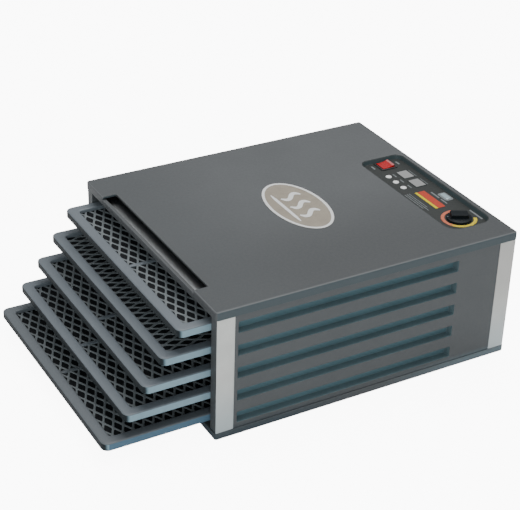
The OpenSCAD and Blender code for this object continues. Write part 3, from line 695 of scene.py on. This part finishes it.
def badge():
    bm = bm_new()
    z = ZT
    skin(bm, [ring(bm, ellipse(76, 42.8), z), ring(bm, ellipse(76, 42.8), z + 0.35), ring(bm, ellipse(75.6, 42.4), z + 0.5), ring(bm, ellipse(74, 40.8), z + 0.5)])
    ob = place("badge_plate", bm, mats["badge_fill"])
    done(ob, "cabinet", "badge_ivory", "badge")
    bm = bm_new()
    def band(a0, b0, a1, b1, zt):
        rings = [ring(bm, ellipse(a0, b0), z + 0.45), ring(bm, ellipse(a0, b0), zt - 0.08), ring(bm, ellipse(a0 - 0.15, b0 - 0.15), zt),
                 ring(bm, ellipse(a1 + 0.15, b1 + 0.15), zt), ring(bm, ellipse(a1, b1), zt - 0.08), ring(bm, ellipse(a1, b1), z + 0.45)]
        skin(bm, rings, closed=True)
    band(75.9, 42.7, 71.6, 38.4, z + 0.8)
    # motif: three rising air waves over a tray line
    def ribbon(path, wd, zt):
        L, R = [], []
        for i, p in enumerate(path):
            q = path[min(i + 1, len(path) - 1)]
            o = path[max(i - 1, 0)]
            d = Vector((q[0] - o[0], q[1] - o[1], 0)).normalized()
            n = Vector((-d.y, d.x, 0))
            t = i/(len(path) - 1)
            ww = wd*0.5*(0.35 + 0.65*min(1, min(t, 1 - t)*6))
            L.append((p[0] + n.x*ww, p[1] + n.y*ww))
            R.append((p[0] - n.x*ww, p[1] - n.y*ww))
        pts = L + list(reversed(R))
        # signed area
        ar = sum(pts[i][0]*pts[(i + 1) % len(pts)][1] - pts[(i + 1) % len(pts)][0]*pts[i][1] for i in range(len(pts)))
        if ar < 0:
            pts.reverse()
        lo, hi = ring(bm, pts, z + 0.45), ring(bm, pts, zt)
        m = len(path)
        # quads across the ribbon, so the caps stay clean
        idx = list(range(len(pts)))
        skin(bm, [lo, hi], cap0=False, cap1=False)
        def capq(rg, flip):
            k = len(rg)
            for i in range(m - 1):
                a_, b_, c_, d_ = rg[i], rg[i + 1], rg[k - 2 - i], rg[k - 1 - i]
                bm.faces.new((a_, b_, c_, d_) if not flip else (d_, c_, b_, a_))
        capq(hi, False)
        capq(lo, True)
    for cx in (-27, 1, 29):
        path = [(cx + 7*math.sin(2*math.pi*t/24*1.0), 0.2 - 12 + 34*t/24) for t in range(25)]
        ribbon(path, 7.5, z + 0.8)
    ribbon([(-43 + 88*t/20, -20.0) for t in range(21)], 5.0, z + 0.8)
    ob = place("badge_relief", bm, mats["badge_white"])
    done(ob, "cabinet", "badge_ivory")

# ------------------------------------------------------------------ control well
def control_well():
    bm = bm_new()
    def o(g, z):
        return ring(bm, well_outline(g), z)
    rings = [o(0.15, WZ - 2), o(0.15, ZT - 0.5), o(0.4, ZT - 0.15), o(0.9, ZT - 0.1), o(1.4, ZT - 0.3), o(1.75, ZT - 0.9), o(2.6, WZ + 1.2), o(3.0, WZ + 0.45), o(3.8, WZ)]
    skin(bm, rings)
    ob = place("control_well_shell", bm, mats["well"])
    c = bm_new()
    lathe(c, [(5.5, WZ - 4), (5.5, WZ + 2)], 48, KX, KY)
    for x in BTN:
        lathe(c, [(5.15, WZ - 4), (5.15, WZ + 2)], 40, x, BY)
    bbox(c, (-63.5 - 12.5, 199 - 13, WZ - 4), (-63.5 + 12.5, 199 + 13, WZ + 2))
    boolean(ob, [place("cut5", c, mats["well"])])
    soften(ob, 0.3, 2, 55)
    done(ob, "cabinet", "panel_black", "control_well")

    # printed label: orange field, yellow strip along the front, thin dark rules
    bm = bm_new()
    prism(bm, rr(27.8, 6.3, 0.8, 3, 62.35, 197.9), WZ, WZ + 0.4)
    ob = place("label_field", bm, mats["orange"]); soften(ob, 0.08, 2); done(ob, "cabinet", "label_orange", "temperature_label")
    bm = bm_new()
    prism(bm, rr(27.8, 2.3, 0.5, 3, 62.35, 188.9), WZ, WZ + 0.42)
    ob = place("label_strip", bm, mats["yellow"]); soften(ob, 0.08, 2); done(ob, "cabinet", "dial_yellow")
    # plain rules and ticks in place of print
    bm = bm_new()
    def bar(x0, x1, y0, y1, h=0.22):
        bbox(bm, (x0, y0, WZ), (x1, y1, WZ + h))
    bar(43, 64, 209.9, 212.6); bar(68, 84, 210.2, 212.4)
    bar(116, 147, 227.9, 230.9)
    bar(-68.5, -58.5, 220.2, 223.0)
    bar(-70.5, -60, 176.0, 178.6)
    for x in BTN:
        bar(x - 4, x + 6, 191.6, 193.4)
    for k, y in enumerate((166.2, 170.0, 173.8, 177.6)):
        bar(33, 90 - 9*(k % 2), y - 0.55, y + 0.55)
    bar(-34, -13, 222.0, 223.0); bar(-2, 18, 222.0, 223.0)
    ob = place("print_marks", bm, mats["print_grey"]); done(ob, "cabinet", "display_grey")

    # dial ring: three quarters of a turn, with fine ticks
    bm = bm_new()
    a0, a1 = math.radians(-190), math.radians(69)
    n = 72
    def arc(r, z):
        return [bm.verts.new((KX + r*math.cos(a0 + (a1 - a0)*i/n), KY + r*math.sin(a0 + (a1 - a0)*i/n), z)) for i in range(n + 1)]
    sec = [(21.6, WZ), (26.7, WZ), (26.7, WZ + 0.6), (26.4, WZ + 0.8), (21.9, WZ + 0.8), (21.6, WZ + 0.6)]
    cols = [arc(r, z) for r, z in sec]
    m = len(cols)
    for k in range(m):
        a_, b_ = cols[k], cols[(k + 1) % m]
        for i in range(n):
            bm.faces.new((a_[i], a_[i + 1], b_[i + 1], b_[i]))
    bm.faces.new([c_[0] for c_ in cols])
    bm.faces.new([c_[-1] for c_ in reversed(cols)])
    ob = place("dial_scale", bm, mats["dial"]); done(ob, "cabinet", "dial_yellow", "dial_ring")
    bm = bm_new()
    for i in range(13):
        t = a0 + (a1 - a0)*i/12
        d = Vector((math.cos(t), math.sin(t), 0)); s = Vector((-d.y, d.x, 0))*0.28
        p0, p1 = Vector((KX, KY, 0)) + d*24.9, Vector((KX, KY, 0)) + d*26.3
        pts = [(p0 - s)[:2], (p1 - s)[:2], (p1 + s)[:2], (p0 + s)[:2]]
        prism(bm, pts, WZ + 0.7, WZ + 0.86)
    ob = place("dial_ticks", bm, mats["black"]); done(ob, "cabinet", "panel_black")

    # display windows
    bm = bm_new()
    for x in (-24, 7.7):
        skin(bm, [ring(bm, rr(11.5, 8.9, 1.2, 4, x, 209.8), WZ), ring(bm, rr(11.5, 8.9, 1.2, 4, x, 209.8), WZ + 0.5), ring(bm, rr(11.3, 8.7, 1.0, 4, x, 209.8), WZ + 0.7)])
    ob = place("display_panes", bm, mats["display"]); done(ob, "cabinet", "display_grey", "display_windows")
    bm = bm_new()
    for x in (-24, 7.7):
        rings = [ring(bm, rr(a, b, 1.4, 4, x, 209.8), z) for a, b, z in ((12.6, 10.0, WZ), (12.6, 10.0, WZ + 0.6), (12.3, 9.7, WZ + 0.85), (11.8, 9.2, WZ + 0.85), (11.55, 8.95, WZ + 0.6), (11.55, 8.95, WZ))]
        skin(bm, rings, closed=True)
    ob = place("display_bezels", bm, mats["well"]); done(ob, "cabinet", "panel_black")

    # lamp lens and its rim
    bm = bm_new()
    skin(bm, [ring(bm, rr(9.6 - o_, 4.4 - o_, 2.2, 5, 65, 222), z) for o_, z in ((0, WZ), (0, WZ + 1.2), (0.35, WZ + 1.6), (1.1, WZ + 1.8))])
    ob = place("lamp_lens", bm, mats["lens"]); done(ob, "cabinet", "lens_clear", "indicator_lens")
    bm = bm_new()
    rings = [ring(bm, rr(9.6 + o_, 4.4 + o_, 2.3 + max(o_, 0)*0.5, 5, 65, 222), z) for o_, z in ((2.9, WZ), (2.8, WZ + 0.6), (2.3, WZ + 1.0), (0.5, WZ + 1.0), (0.1, WZ + 0.8), (0.1, WZ))]
    skin(bm, rings, closed=True)
    ob = place("lamp_rim", bm, mats["print_grey"]); done(ob, "cabinet", "display_grey")

# ------------------------------------------------------------------ rocker, buttons, knob
def controls():
    RX, RY = -63.5, 199.0
    bm = bm_new()
    rings = [ring(bm, rr(a, b, r, 4, RX, RY), z) for a, b, r, z in (
        (13.4, 14.4, 1.8, WZ), (13.4, 14.4, 1.8, WZ + 1.0), (13.0, 14.0, 1.5, WZ + 1.5), (11.5, 12.1, 0.6, WZ + 1.5), (10.9, 11.5, 0.5, WZ + 0.9), (10.8, 11.4, 0.5, WZ - 11.5))]
    skin(bm, rings, cap0=False, cap1=False)
    bm.faces.new(rings[-1])
    lo = [ring(bm, rr(12.3, 12.8, 0.8, 4, RX, RY), z) for z in (WZ, WZ - 19)]
    a, b = rings[0], lo[0]
    k = len(a)
    for i in range(k):
        j = (i + 1) % k
        bm.faces.new((a[i], a[j], b[j], b[i]))
        bm.faces.new((lo[0][i], lo[0][j], lo[1][j], lo[1][i]))
    bm.faces.new(list(reversed(lo[1])))
    for x in (-7, 0, 7):
        bbox(bm, (RX + x - 0.4, RY - 3, WZ - 27), (RX + x + 0.4, RY + 3, WZ - 18.99))
    ob = place("rocker_bezel", bm, mats["black"]); soften(ob, 0.15, 2, 50); done(ob, "cabinet", "switch_black", "rocker_housing")

    # rocker: two shallow scoops meeting at a soft crest
    bm = bm_new()
    sec = []
    for i in range(21):
        t = -1 + 2*i/20
        sec.append((10.4*t, 4.0 + 1.6*abs(t)**1.6 + 0.25*math.exp(-(t/0.12)**2)))
    sec = [(-10.1, -1.5)] + sec + [(10.1, -1.5), (4, -5), (-4, -5)]
    cols = []
    for x, g in ((-10.3, 0.45), (-9.8, 0.0), (-5, -0.12), (0, -0.18), (5, -0.12), (9.8, 0.0), (10.3, 0.45)):
        cols.append([bm.verts.new((x, y*(1 - g*0.012), z - (g if z > 3 else 0))) for y, z in sec])
    skin(bm, cols)
    th = math.radians(8)
    turn(bm, Matrix.Translation((RX, RY, WZ - 2)) @ Matrix.Rotation(th, 4, 'X'))
    ob = place("rocker_cap", bm, [mats["red"], mats["rocker_end_highlight"]])
    # faces at the rocker's rear end take the painted highlight
    for p in ob.data.polygons:
        if p.center.y/MM > RY + 6.2 and p.center.z/MM > WZ + 1.0:
            p.material_index = 1
    soften(ob, 0.3, 2, 45)
    done(ob, "rocker", "rocker_red", "power_rocker")
    for i, x in enumerate(BTN):
        bm = bm_new()
        r = 4.75
        prof = [(0.01, WZ - 7.2), (1.6, WZ - 7.2), (1.6, WZ - 6.4), (r + 1.2, WZ - 6.4), (r + 1.2, WZ - 4.9), (r, WZ - 4.9), (r, WZ + 0.1), (r - 0.15, WZ + 0.45), (r - 0.5, WZ + 0.65)]
        prof += [(r - 0.9, WZ + 0.68), (r - 1.8, WZ + 0.56), (r - 3.2, WZ + 0.47), (0.01, WZ + 0.45)]
        lathe(bm, prof, 48, x, BY)
        ob = place(f"button_{i+1}_cap", bm, mats["white"]); done(ob, f"button_{i+1}", "button_white", f"timer_button_{i+1}")

    # knob: stepped skirt, flat-sided block grip with finger grooves, shaft
    bm = bm_new()
    lathe(bm, [(7, WZ + 2.5), (7, WZ + 1.3), (18.4, WZ + 1.3), (19, WZ + 1.8), (19, WZ + 2.7), (18.6, WZ + 3.2), (16.4, WZ + 3.7), (15.8, WZ + 4.2), (15.3, WZ + 4.6), (14.4, WZ + 4.75), (0.01, WZ + 4.78)], 128, KX, KY)
    lathe(bm, [(0.01, WZ - 17), (2.6, WZ - 17), (3, WZ - 16.6), (3, WZ + 2.6), (0.01, WZ + 2.6)], 32, KX, KY)
    ob = place("knob_cap", bm, mats["knob"], merge=False); done(ob, "knob", "knob_black", "thermostat_knob", angle=30)
    GA = math.radians(63)
    bm = bm_new()
    def gr(g, z, flute=0.0):
        pts = rr(13.5 - g, 8.5 - g, max(0.5, 2.2 - g), 5)
        # shallow upright grooves along the two long sides
        out = []
        n = len(pts)
        for i in range(n):
            p, q = Vector((*pts[i], 0)), Vector((*pts[(i + 1) % n], 0))
            out.append(pts[i])
            if i in (5, 17):                     # long sides
                for k in range(1, 48):
                    t = k/48
                    w = p.lerp(q, t)
                    dip = flute*math.sin(math.pi*t*9)**2
                    out.append((w.x, w.y - math.copysign(dip, w.y)))
            elif i in (11, 23):
                for k in range(1, 4):
                    w = p.lerp(q, k/4)
                    out.append((w.x, w.y))
        c, s_ = math.cos(GA), math.sin(GA)
        return ring(bm, [(KX + x*c - y*s_, KY + x*s_ + y*c) for x, y in out], z)
    skin(bm, [gr(0.0, WZ + 4.3), gr(0.0, WZ + 4.9, 0.5), gr(0.25, WZ + 8.6, 0.5), gr(0.5, WZ + 9.3, 0.3), gr(0.85, WZ + 9.75), gr(1.4, WZ + 9.97), gr(2.1, WZ + 10.0)])
    ob = place("knob_grip", bm, mats["knob"]); done(ob, "knob", "knob_black", angle=30)
    bm = bm_new()
    d = Vector((math.cos(GA + math.pi), math.sin(GA + math.pi), 0)); s = Vector((-d.y, d.x, 0))*0.6
    c0 = Vector((KX, KY, 0))
    prism(bm, [((c0 + d*6) - s)[:2], ((c0 + d*11) - s)[:2], ((c0 + d*11) + s)[:2], ((c0 + d*6) + s)[:2]], WZ + 9.9, WZ + 10.0 - 0.001)
    prism(bm, [((c0 + d*15.6) - s)[:2], ((c0 + d*18.2) - s)[:2], ((c0 + d*18.2) + s)[:2], ((c0 + d*15.6) + s)[:2]], WZ + 2.9, WZ + 3.95)
    ob = place("knob_pointer", bm, mats["print_grey"]); done(ob, "knob", "display_grey")

# ------------------------------------------------------------------ rear: panel with air slots, screws, cord inlet
TO_Y = Matrix.Rotation(math.radians(90), 4, 'X')          # local z points to -Y
TO_BACK = Matrix.Rotation(math.radians(-90), 4, 'X')      # local z points to +Y

def merged(name, parts, materials):
    """One object from (mesh, matrix in metres) copies."""
    bm = bm_new()
    for me, m in parts:
        n0 = len(bm.verts)
        bm.from_mesh(me)
        bm.verts.ensure_lookup_table()
        bmesh.ops.transform(bm, matrix=m, verts=bm.verts[n0:])
    me = bpy.data.meshes.new(name)
    bm.to_mesh(me)
    bm.free()
    ob = bpy.data.objects.new(name, me)
    bpy.context.scene.collection.objects.link(ob)
    for m in materials:
        me.materials.append(m)
    return ob

def screw(prof, span, depth, top):
    """Screw along +z with a cross recess in its head."""
    bm = bm_new()
    lathe(bm, prof, 40)
    ob = place("screw_tmp", bm, mats["screw"])
    c = bm_new()
    for a in (0, 90):
        b2 = bm_new()
        rs = [ring(b2, rr(span*k, 0.42*k + 0.06, 0.05, 2), z) for k, z in ((0.35, top - depth), (1.0, top + 0.02), (1.05, top + 1.5))]
        skin(b2, rs)
        bmesh.ops.rotate(b2, verts=b2.verts, cent=(0, 0, 0), matrix=Matrix.Rotation(math.radians(a), 3, 'Z'))
        me = bpy.data.meshes.new("x"); b2.to_mesh(me); b2.free(); c.from_mesh(me); bpy.data.meshes.remove(me)
        if a == 0:
            first = place("cutx", c, mats["screw"]); c = bm_new()
    second = place("cuty", c, mats["screw"])
    boolean(ob, [first, second])
    shade(ob, 35)
    return ob

def rear():
    bm = bm_new()
    bbox(bm, (-206.5, FACE - 2.9, 3), (206.5, FACE, ZT - 3))
    ob = place("rear_panel_sheet", bm, mats["inner"])
    c = bm_new()
    def slot_cut(cx, cz, a, b):
        rs = []
        for y, g in ((FACE + 1.0, -1.0), (FACE + 0.001, -0.45), (FACE - 0.5, 0.0), (FACE - 4, 0.0)):
            rs.append([c.verts.new((x, y, z)) for x, z in rr(a - g, b - g, b - g - 0.01, 5, cx, cz)])
        skin(c, rs)
    for k in range(-4, 5):
        for sx in (-1, 1):
            slot_cut(sx*31, 88 + 11*k, 25 - 1.5*abs(k), 2.5)
    rs = [[c.verts.new((160 + 8.02*math.cos(t), y, 34 + 8.02*math.sin(t))) for t in [2*math.pi*i/48 for i in range(48)]] for y in (FACE + 1, FACE - 4)]
    skin(c, rs)
    for x in (-200, 200):
        for z in (22, 102, 182):
            rs = [[c.verts.new((x + 1.9*math.cos(t), y, z + 1.9*math.sin(t))) for t in [2*math.pi*i/24 for i in range(24)]] for y in (FACE + 1, FACE - 4)]
            skin(c, rs)
    boolean(ob, [place("cut6", c, mats["inner"])])
    # soft edges on the sheet and on its cut-outs
    soften(ob, 0.35, 2, 60)
    done(ob, "cabinet", "inner_plastic", "rear_panel")
    # rolled frame pressed round the air slots
    bm = bm_new()
    rings = []
    for g, y in ((0.0, FACE - 0.02), (0.35, FACE + 0.5), (1.1, FACE + 0.85), (2.1, FACE + 0.85), (2.85, FACE + 0.5), (3.2, FACE - 0.02)):
        rings.append([bm.verts.new((x, y, z)) for x, z in rr(66 - g, 56 - g, 10 - g, 8, 0, 88)])
    skin(bm, rings, closed=True)
    ob = place("rear_panel_bead", bm, mats["inner"])
    done(ob, "cabinet", "inner_plastic")
    # pan-head screws
    pan = screw([(0.01, -12), (1.2, -12), (1.6, -11), (1.6, 0.0), (3.4, 0.0), (3.4, 0.35), (3.2, 0.85), (2.6, 1.2), (1.6, 1.38), (0.01, 1.4)], 1.9, 0.9, 1.4)
    parts = []
    for i, (x, z) in enumerate([(x, z) for x in (-200, 200) for z in (22, 102, 182)]):
        parts.append((pan.data, Matrix.Translation((x*MM, FACE*MM, z*MM)) @ TO_BACK @ Matrix.Rotation(0.5 + 1.3*i, 4, 'Z')))
    ob = merged("rear_panel_screw_set", parts, [mats["screw"]])
    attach(ob, "cabinet"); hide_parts("rear_panel_screws")
    bpy.data.objects.remove(pan, do_unlink=True)
    flat = screw([(0.01, 0.1), (3.1, 0.1), (3.3, 0.25), (1.7, 1.7), (1.6, 1.9), (1.6, 13.2), (1.2, 14.0), (0.01, 14.0)], 1.0, 0.1, 20)
    bpy.data.objects.remove(flat, do_unlink=True)
    flat = screw([(0.01, -14.0), (1.2, -14.0), (1.6, -13.2), (1.6, -1.9), (1.7, -1.7), (3.3, -0.25), (3.1, -0.1), (0.01, -0.1)], 1.9, 0.9, -0.1)
    parts = []
    for i, (x, y) in enumerate([(x, y) for x in (-200, 200) for y in (-231.5, 229.5)]):
        parts.append((flat.data, Matrix.Translation((x*MM, y*MM, ZB*MM)) @ Matrix.Rotation(math.pi, 4, 'X') @ Matrix.Rotation(0.2 + 1.1*i, 4, 'Z')))
    ob = merged("base_screw_set", parts, [mats["screw"]])
    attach(ob, "cabinet"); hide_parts("base_screws")
    bpy.data.objects.remove(flat, do_unlink=True)
    # cord inlet: rubber bush with a rounded flange and grip ribs inside the wall
    bm = bm_new()
    y0 = 234.4
    prof = [(4.0, y0 + 0.4), (4.0, 244.0), (4.35, 244.6), (4.9, 244.8), (9.6, 244.8), (10.6, 244.5), (11.0, 243.9), (11.0, 243.42), (8.0, 243.42), (8.0, 240.5),
            (10.0, 240.45), (10.0, 239.6), (9.2, 239.0), (9.2, 238.2), (8.9, 237.6), (8.9, 236.8), (8.4, 236.2), (8.4, 235.2), (8.0, 234.4), (4.4, 234.4)]
    rings = []
    seg = 64
    for r, y in prof:
        rings.append([bm.verts.new((160 + r*math.cos(2*math.pi*i/seg), y, 34 + r*math.sin(2*math.pi*i/seg))) for i in range(seg)])
    skin(bm, rings, closed=True)
    ob = place("cord_inlet_bush", bm, mats["rubber"])
    done(ob, "cabinet", "rubber_black", "cord_inlet")

# ------------------------------------------------------------------ carried-over nodes: finish and soft edges
def carry():
    table = {
        "rear_post_left": "inner", "rear_post_right": "inner", "drip_pan": "sheet", "chamber_ceiling": "sheet", "tray_rack_left": "inner", "tray_rack_right": "inner",
        "baffle": "sheet", "fan_shroud": "sheet", "fan_blades": "fan", "fan_shaft": "plated", "motor_rotor": "iron", "motor_housing": "iron",
        "motor_bushes": "bronze", "motor_bracket": "sheet", "heater_element": "heater", "heater_clips": "plated", "thermal_cutoff": "ceramic",
        "sensor_bulb": "bronze", "terminal_block": "ceramic", "timer_board": "board", "thermostat_body": "plated"}
    for n, m in table.items():
        ob = N[n]
        ob.data.materials.clear()
        ob.data.materials.append(mats[m])
        for p in ob.data.polygons:
            p.material_index = 0
        w = ob.modifiers.new("weld", 'WELD')
        w.merge_threshold = 0.00002
        b = ob.modifiers.new("bev", 'BEVEL')
        b.width = 0.0003
        b.segments = 2
        b.limit_method = 'ANGLE'
        b.angle_limit = math.radians(50)

top_cover()
base_pan()
side_panel(1, "side_panel_right_skin", "side_panel_right")
side_panel(-1, "side_panel_left_skin", "side_panel_left")
for s, sn in ((1, "right"), (-1, "left")):
    for fr in (True, False):
        trim(s, fr, f"trim_{'front' if fr else 'rear'}_{sn}")
mouth()
trays()
badge()
control_well()
controls()
rear()
carry()

# ------------------------------------------------------------------ studio
def studio():
    bm = bm_new()
    bbox(bm, (-6000, -6000, -20), (6000, 6000, 0))
    fl = place("studio_floor", bm, [])
    m, nt, b, tc = _new("floor_white")
    n = _noise(nt, tc.outputs["Object"], 3, 3)
    nt.links.new(_mix(nt, _map(nt, n, 0.3, 0.7, 0, 1), (0.90, 0.90, 0.90), (0.92, 0.92, 0.92)), b.inputs["Base Color"])
    b.inputs["Roughness"].default_value = 0.9
    b.inputs["Emission Color"].default_value = (1, 1, 1, 1)
    see = nt.nodes.new("ShaderNodeLightPath")
    nt.links.new(_math(nt, 'MULTIPLY', see.outputs["Is Camera Ray"], 9.0), b.inputs["Emission Strength"])
    fl.data.materials.append(m)
    w = bpy.data.worlds.new("studio")
    bpy.context.scene.world = w
    w.use_nodes = True
    nt = w.node_tree
    for x in list(nt.nodes):
        nt.nodes.remove(x)
    out = nt.nodes.new("ShaderNodeOutputWorld")
    mixs = nt.nodes.new("ShaderNodeMixShader")
    lp = nt.nodes.new("ShaderNodeLightPath")
    b1 = nt.nodes.new("ShaderNodeBackground"); b1.inputs[0].default_value = (0.93, 0.97, 1.0, 1); b1.inputs[1].default_value = 0.42
    b2 = nt.nodes.new("ShaderNodeBackground"); b2.inputs[0].default_value = (1, 1, 1, 1); b2.inputs[1].default_value = 9.5
    nt.links.new(lp.outputs["Is Camera Ray"], mixs.inputs[0])
    nt.links.new(b1.outputs[0], mixs.inputs[1])
    nt.links.new(b2.outputs[0], mixs.inputs[2])
    nt.links.new(mixs.outputs[0], out.inputs[0])
    def area(name, loc, target, size, power, col=(1, 1, 1)):
        l = bpy.data.lights.new(name, 'AREA')
        l.shape = 'RECTANGLE'
        l.size, l.size_y = size
        l.energy = power
        l.color = col
        o = bpy.data.objects.new(name, l)
        bpy.context.scene.collection.objects.link(o)
        o.location = loc
        o.rotation_euler = (Vector(target) - Vector(loc)).to_track_quat('-Z', 'Y').to_euler()
    area("key_top", (-0.3, 0.6, 2.9), (0, 0.0, 0.1), (2.6, 2.6), 108)
    area("side_right", (2.6, -1.5, 1.3), (0, -0.15, 0.1), (1.8, 1.6), 39, (0.87, 0.965, 1.0))
    area("front_left", (-1.6, -2.6, 1.4), (0, -0.1, 0.1), (2.0, 1.4), 5)
studio()
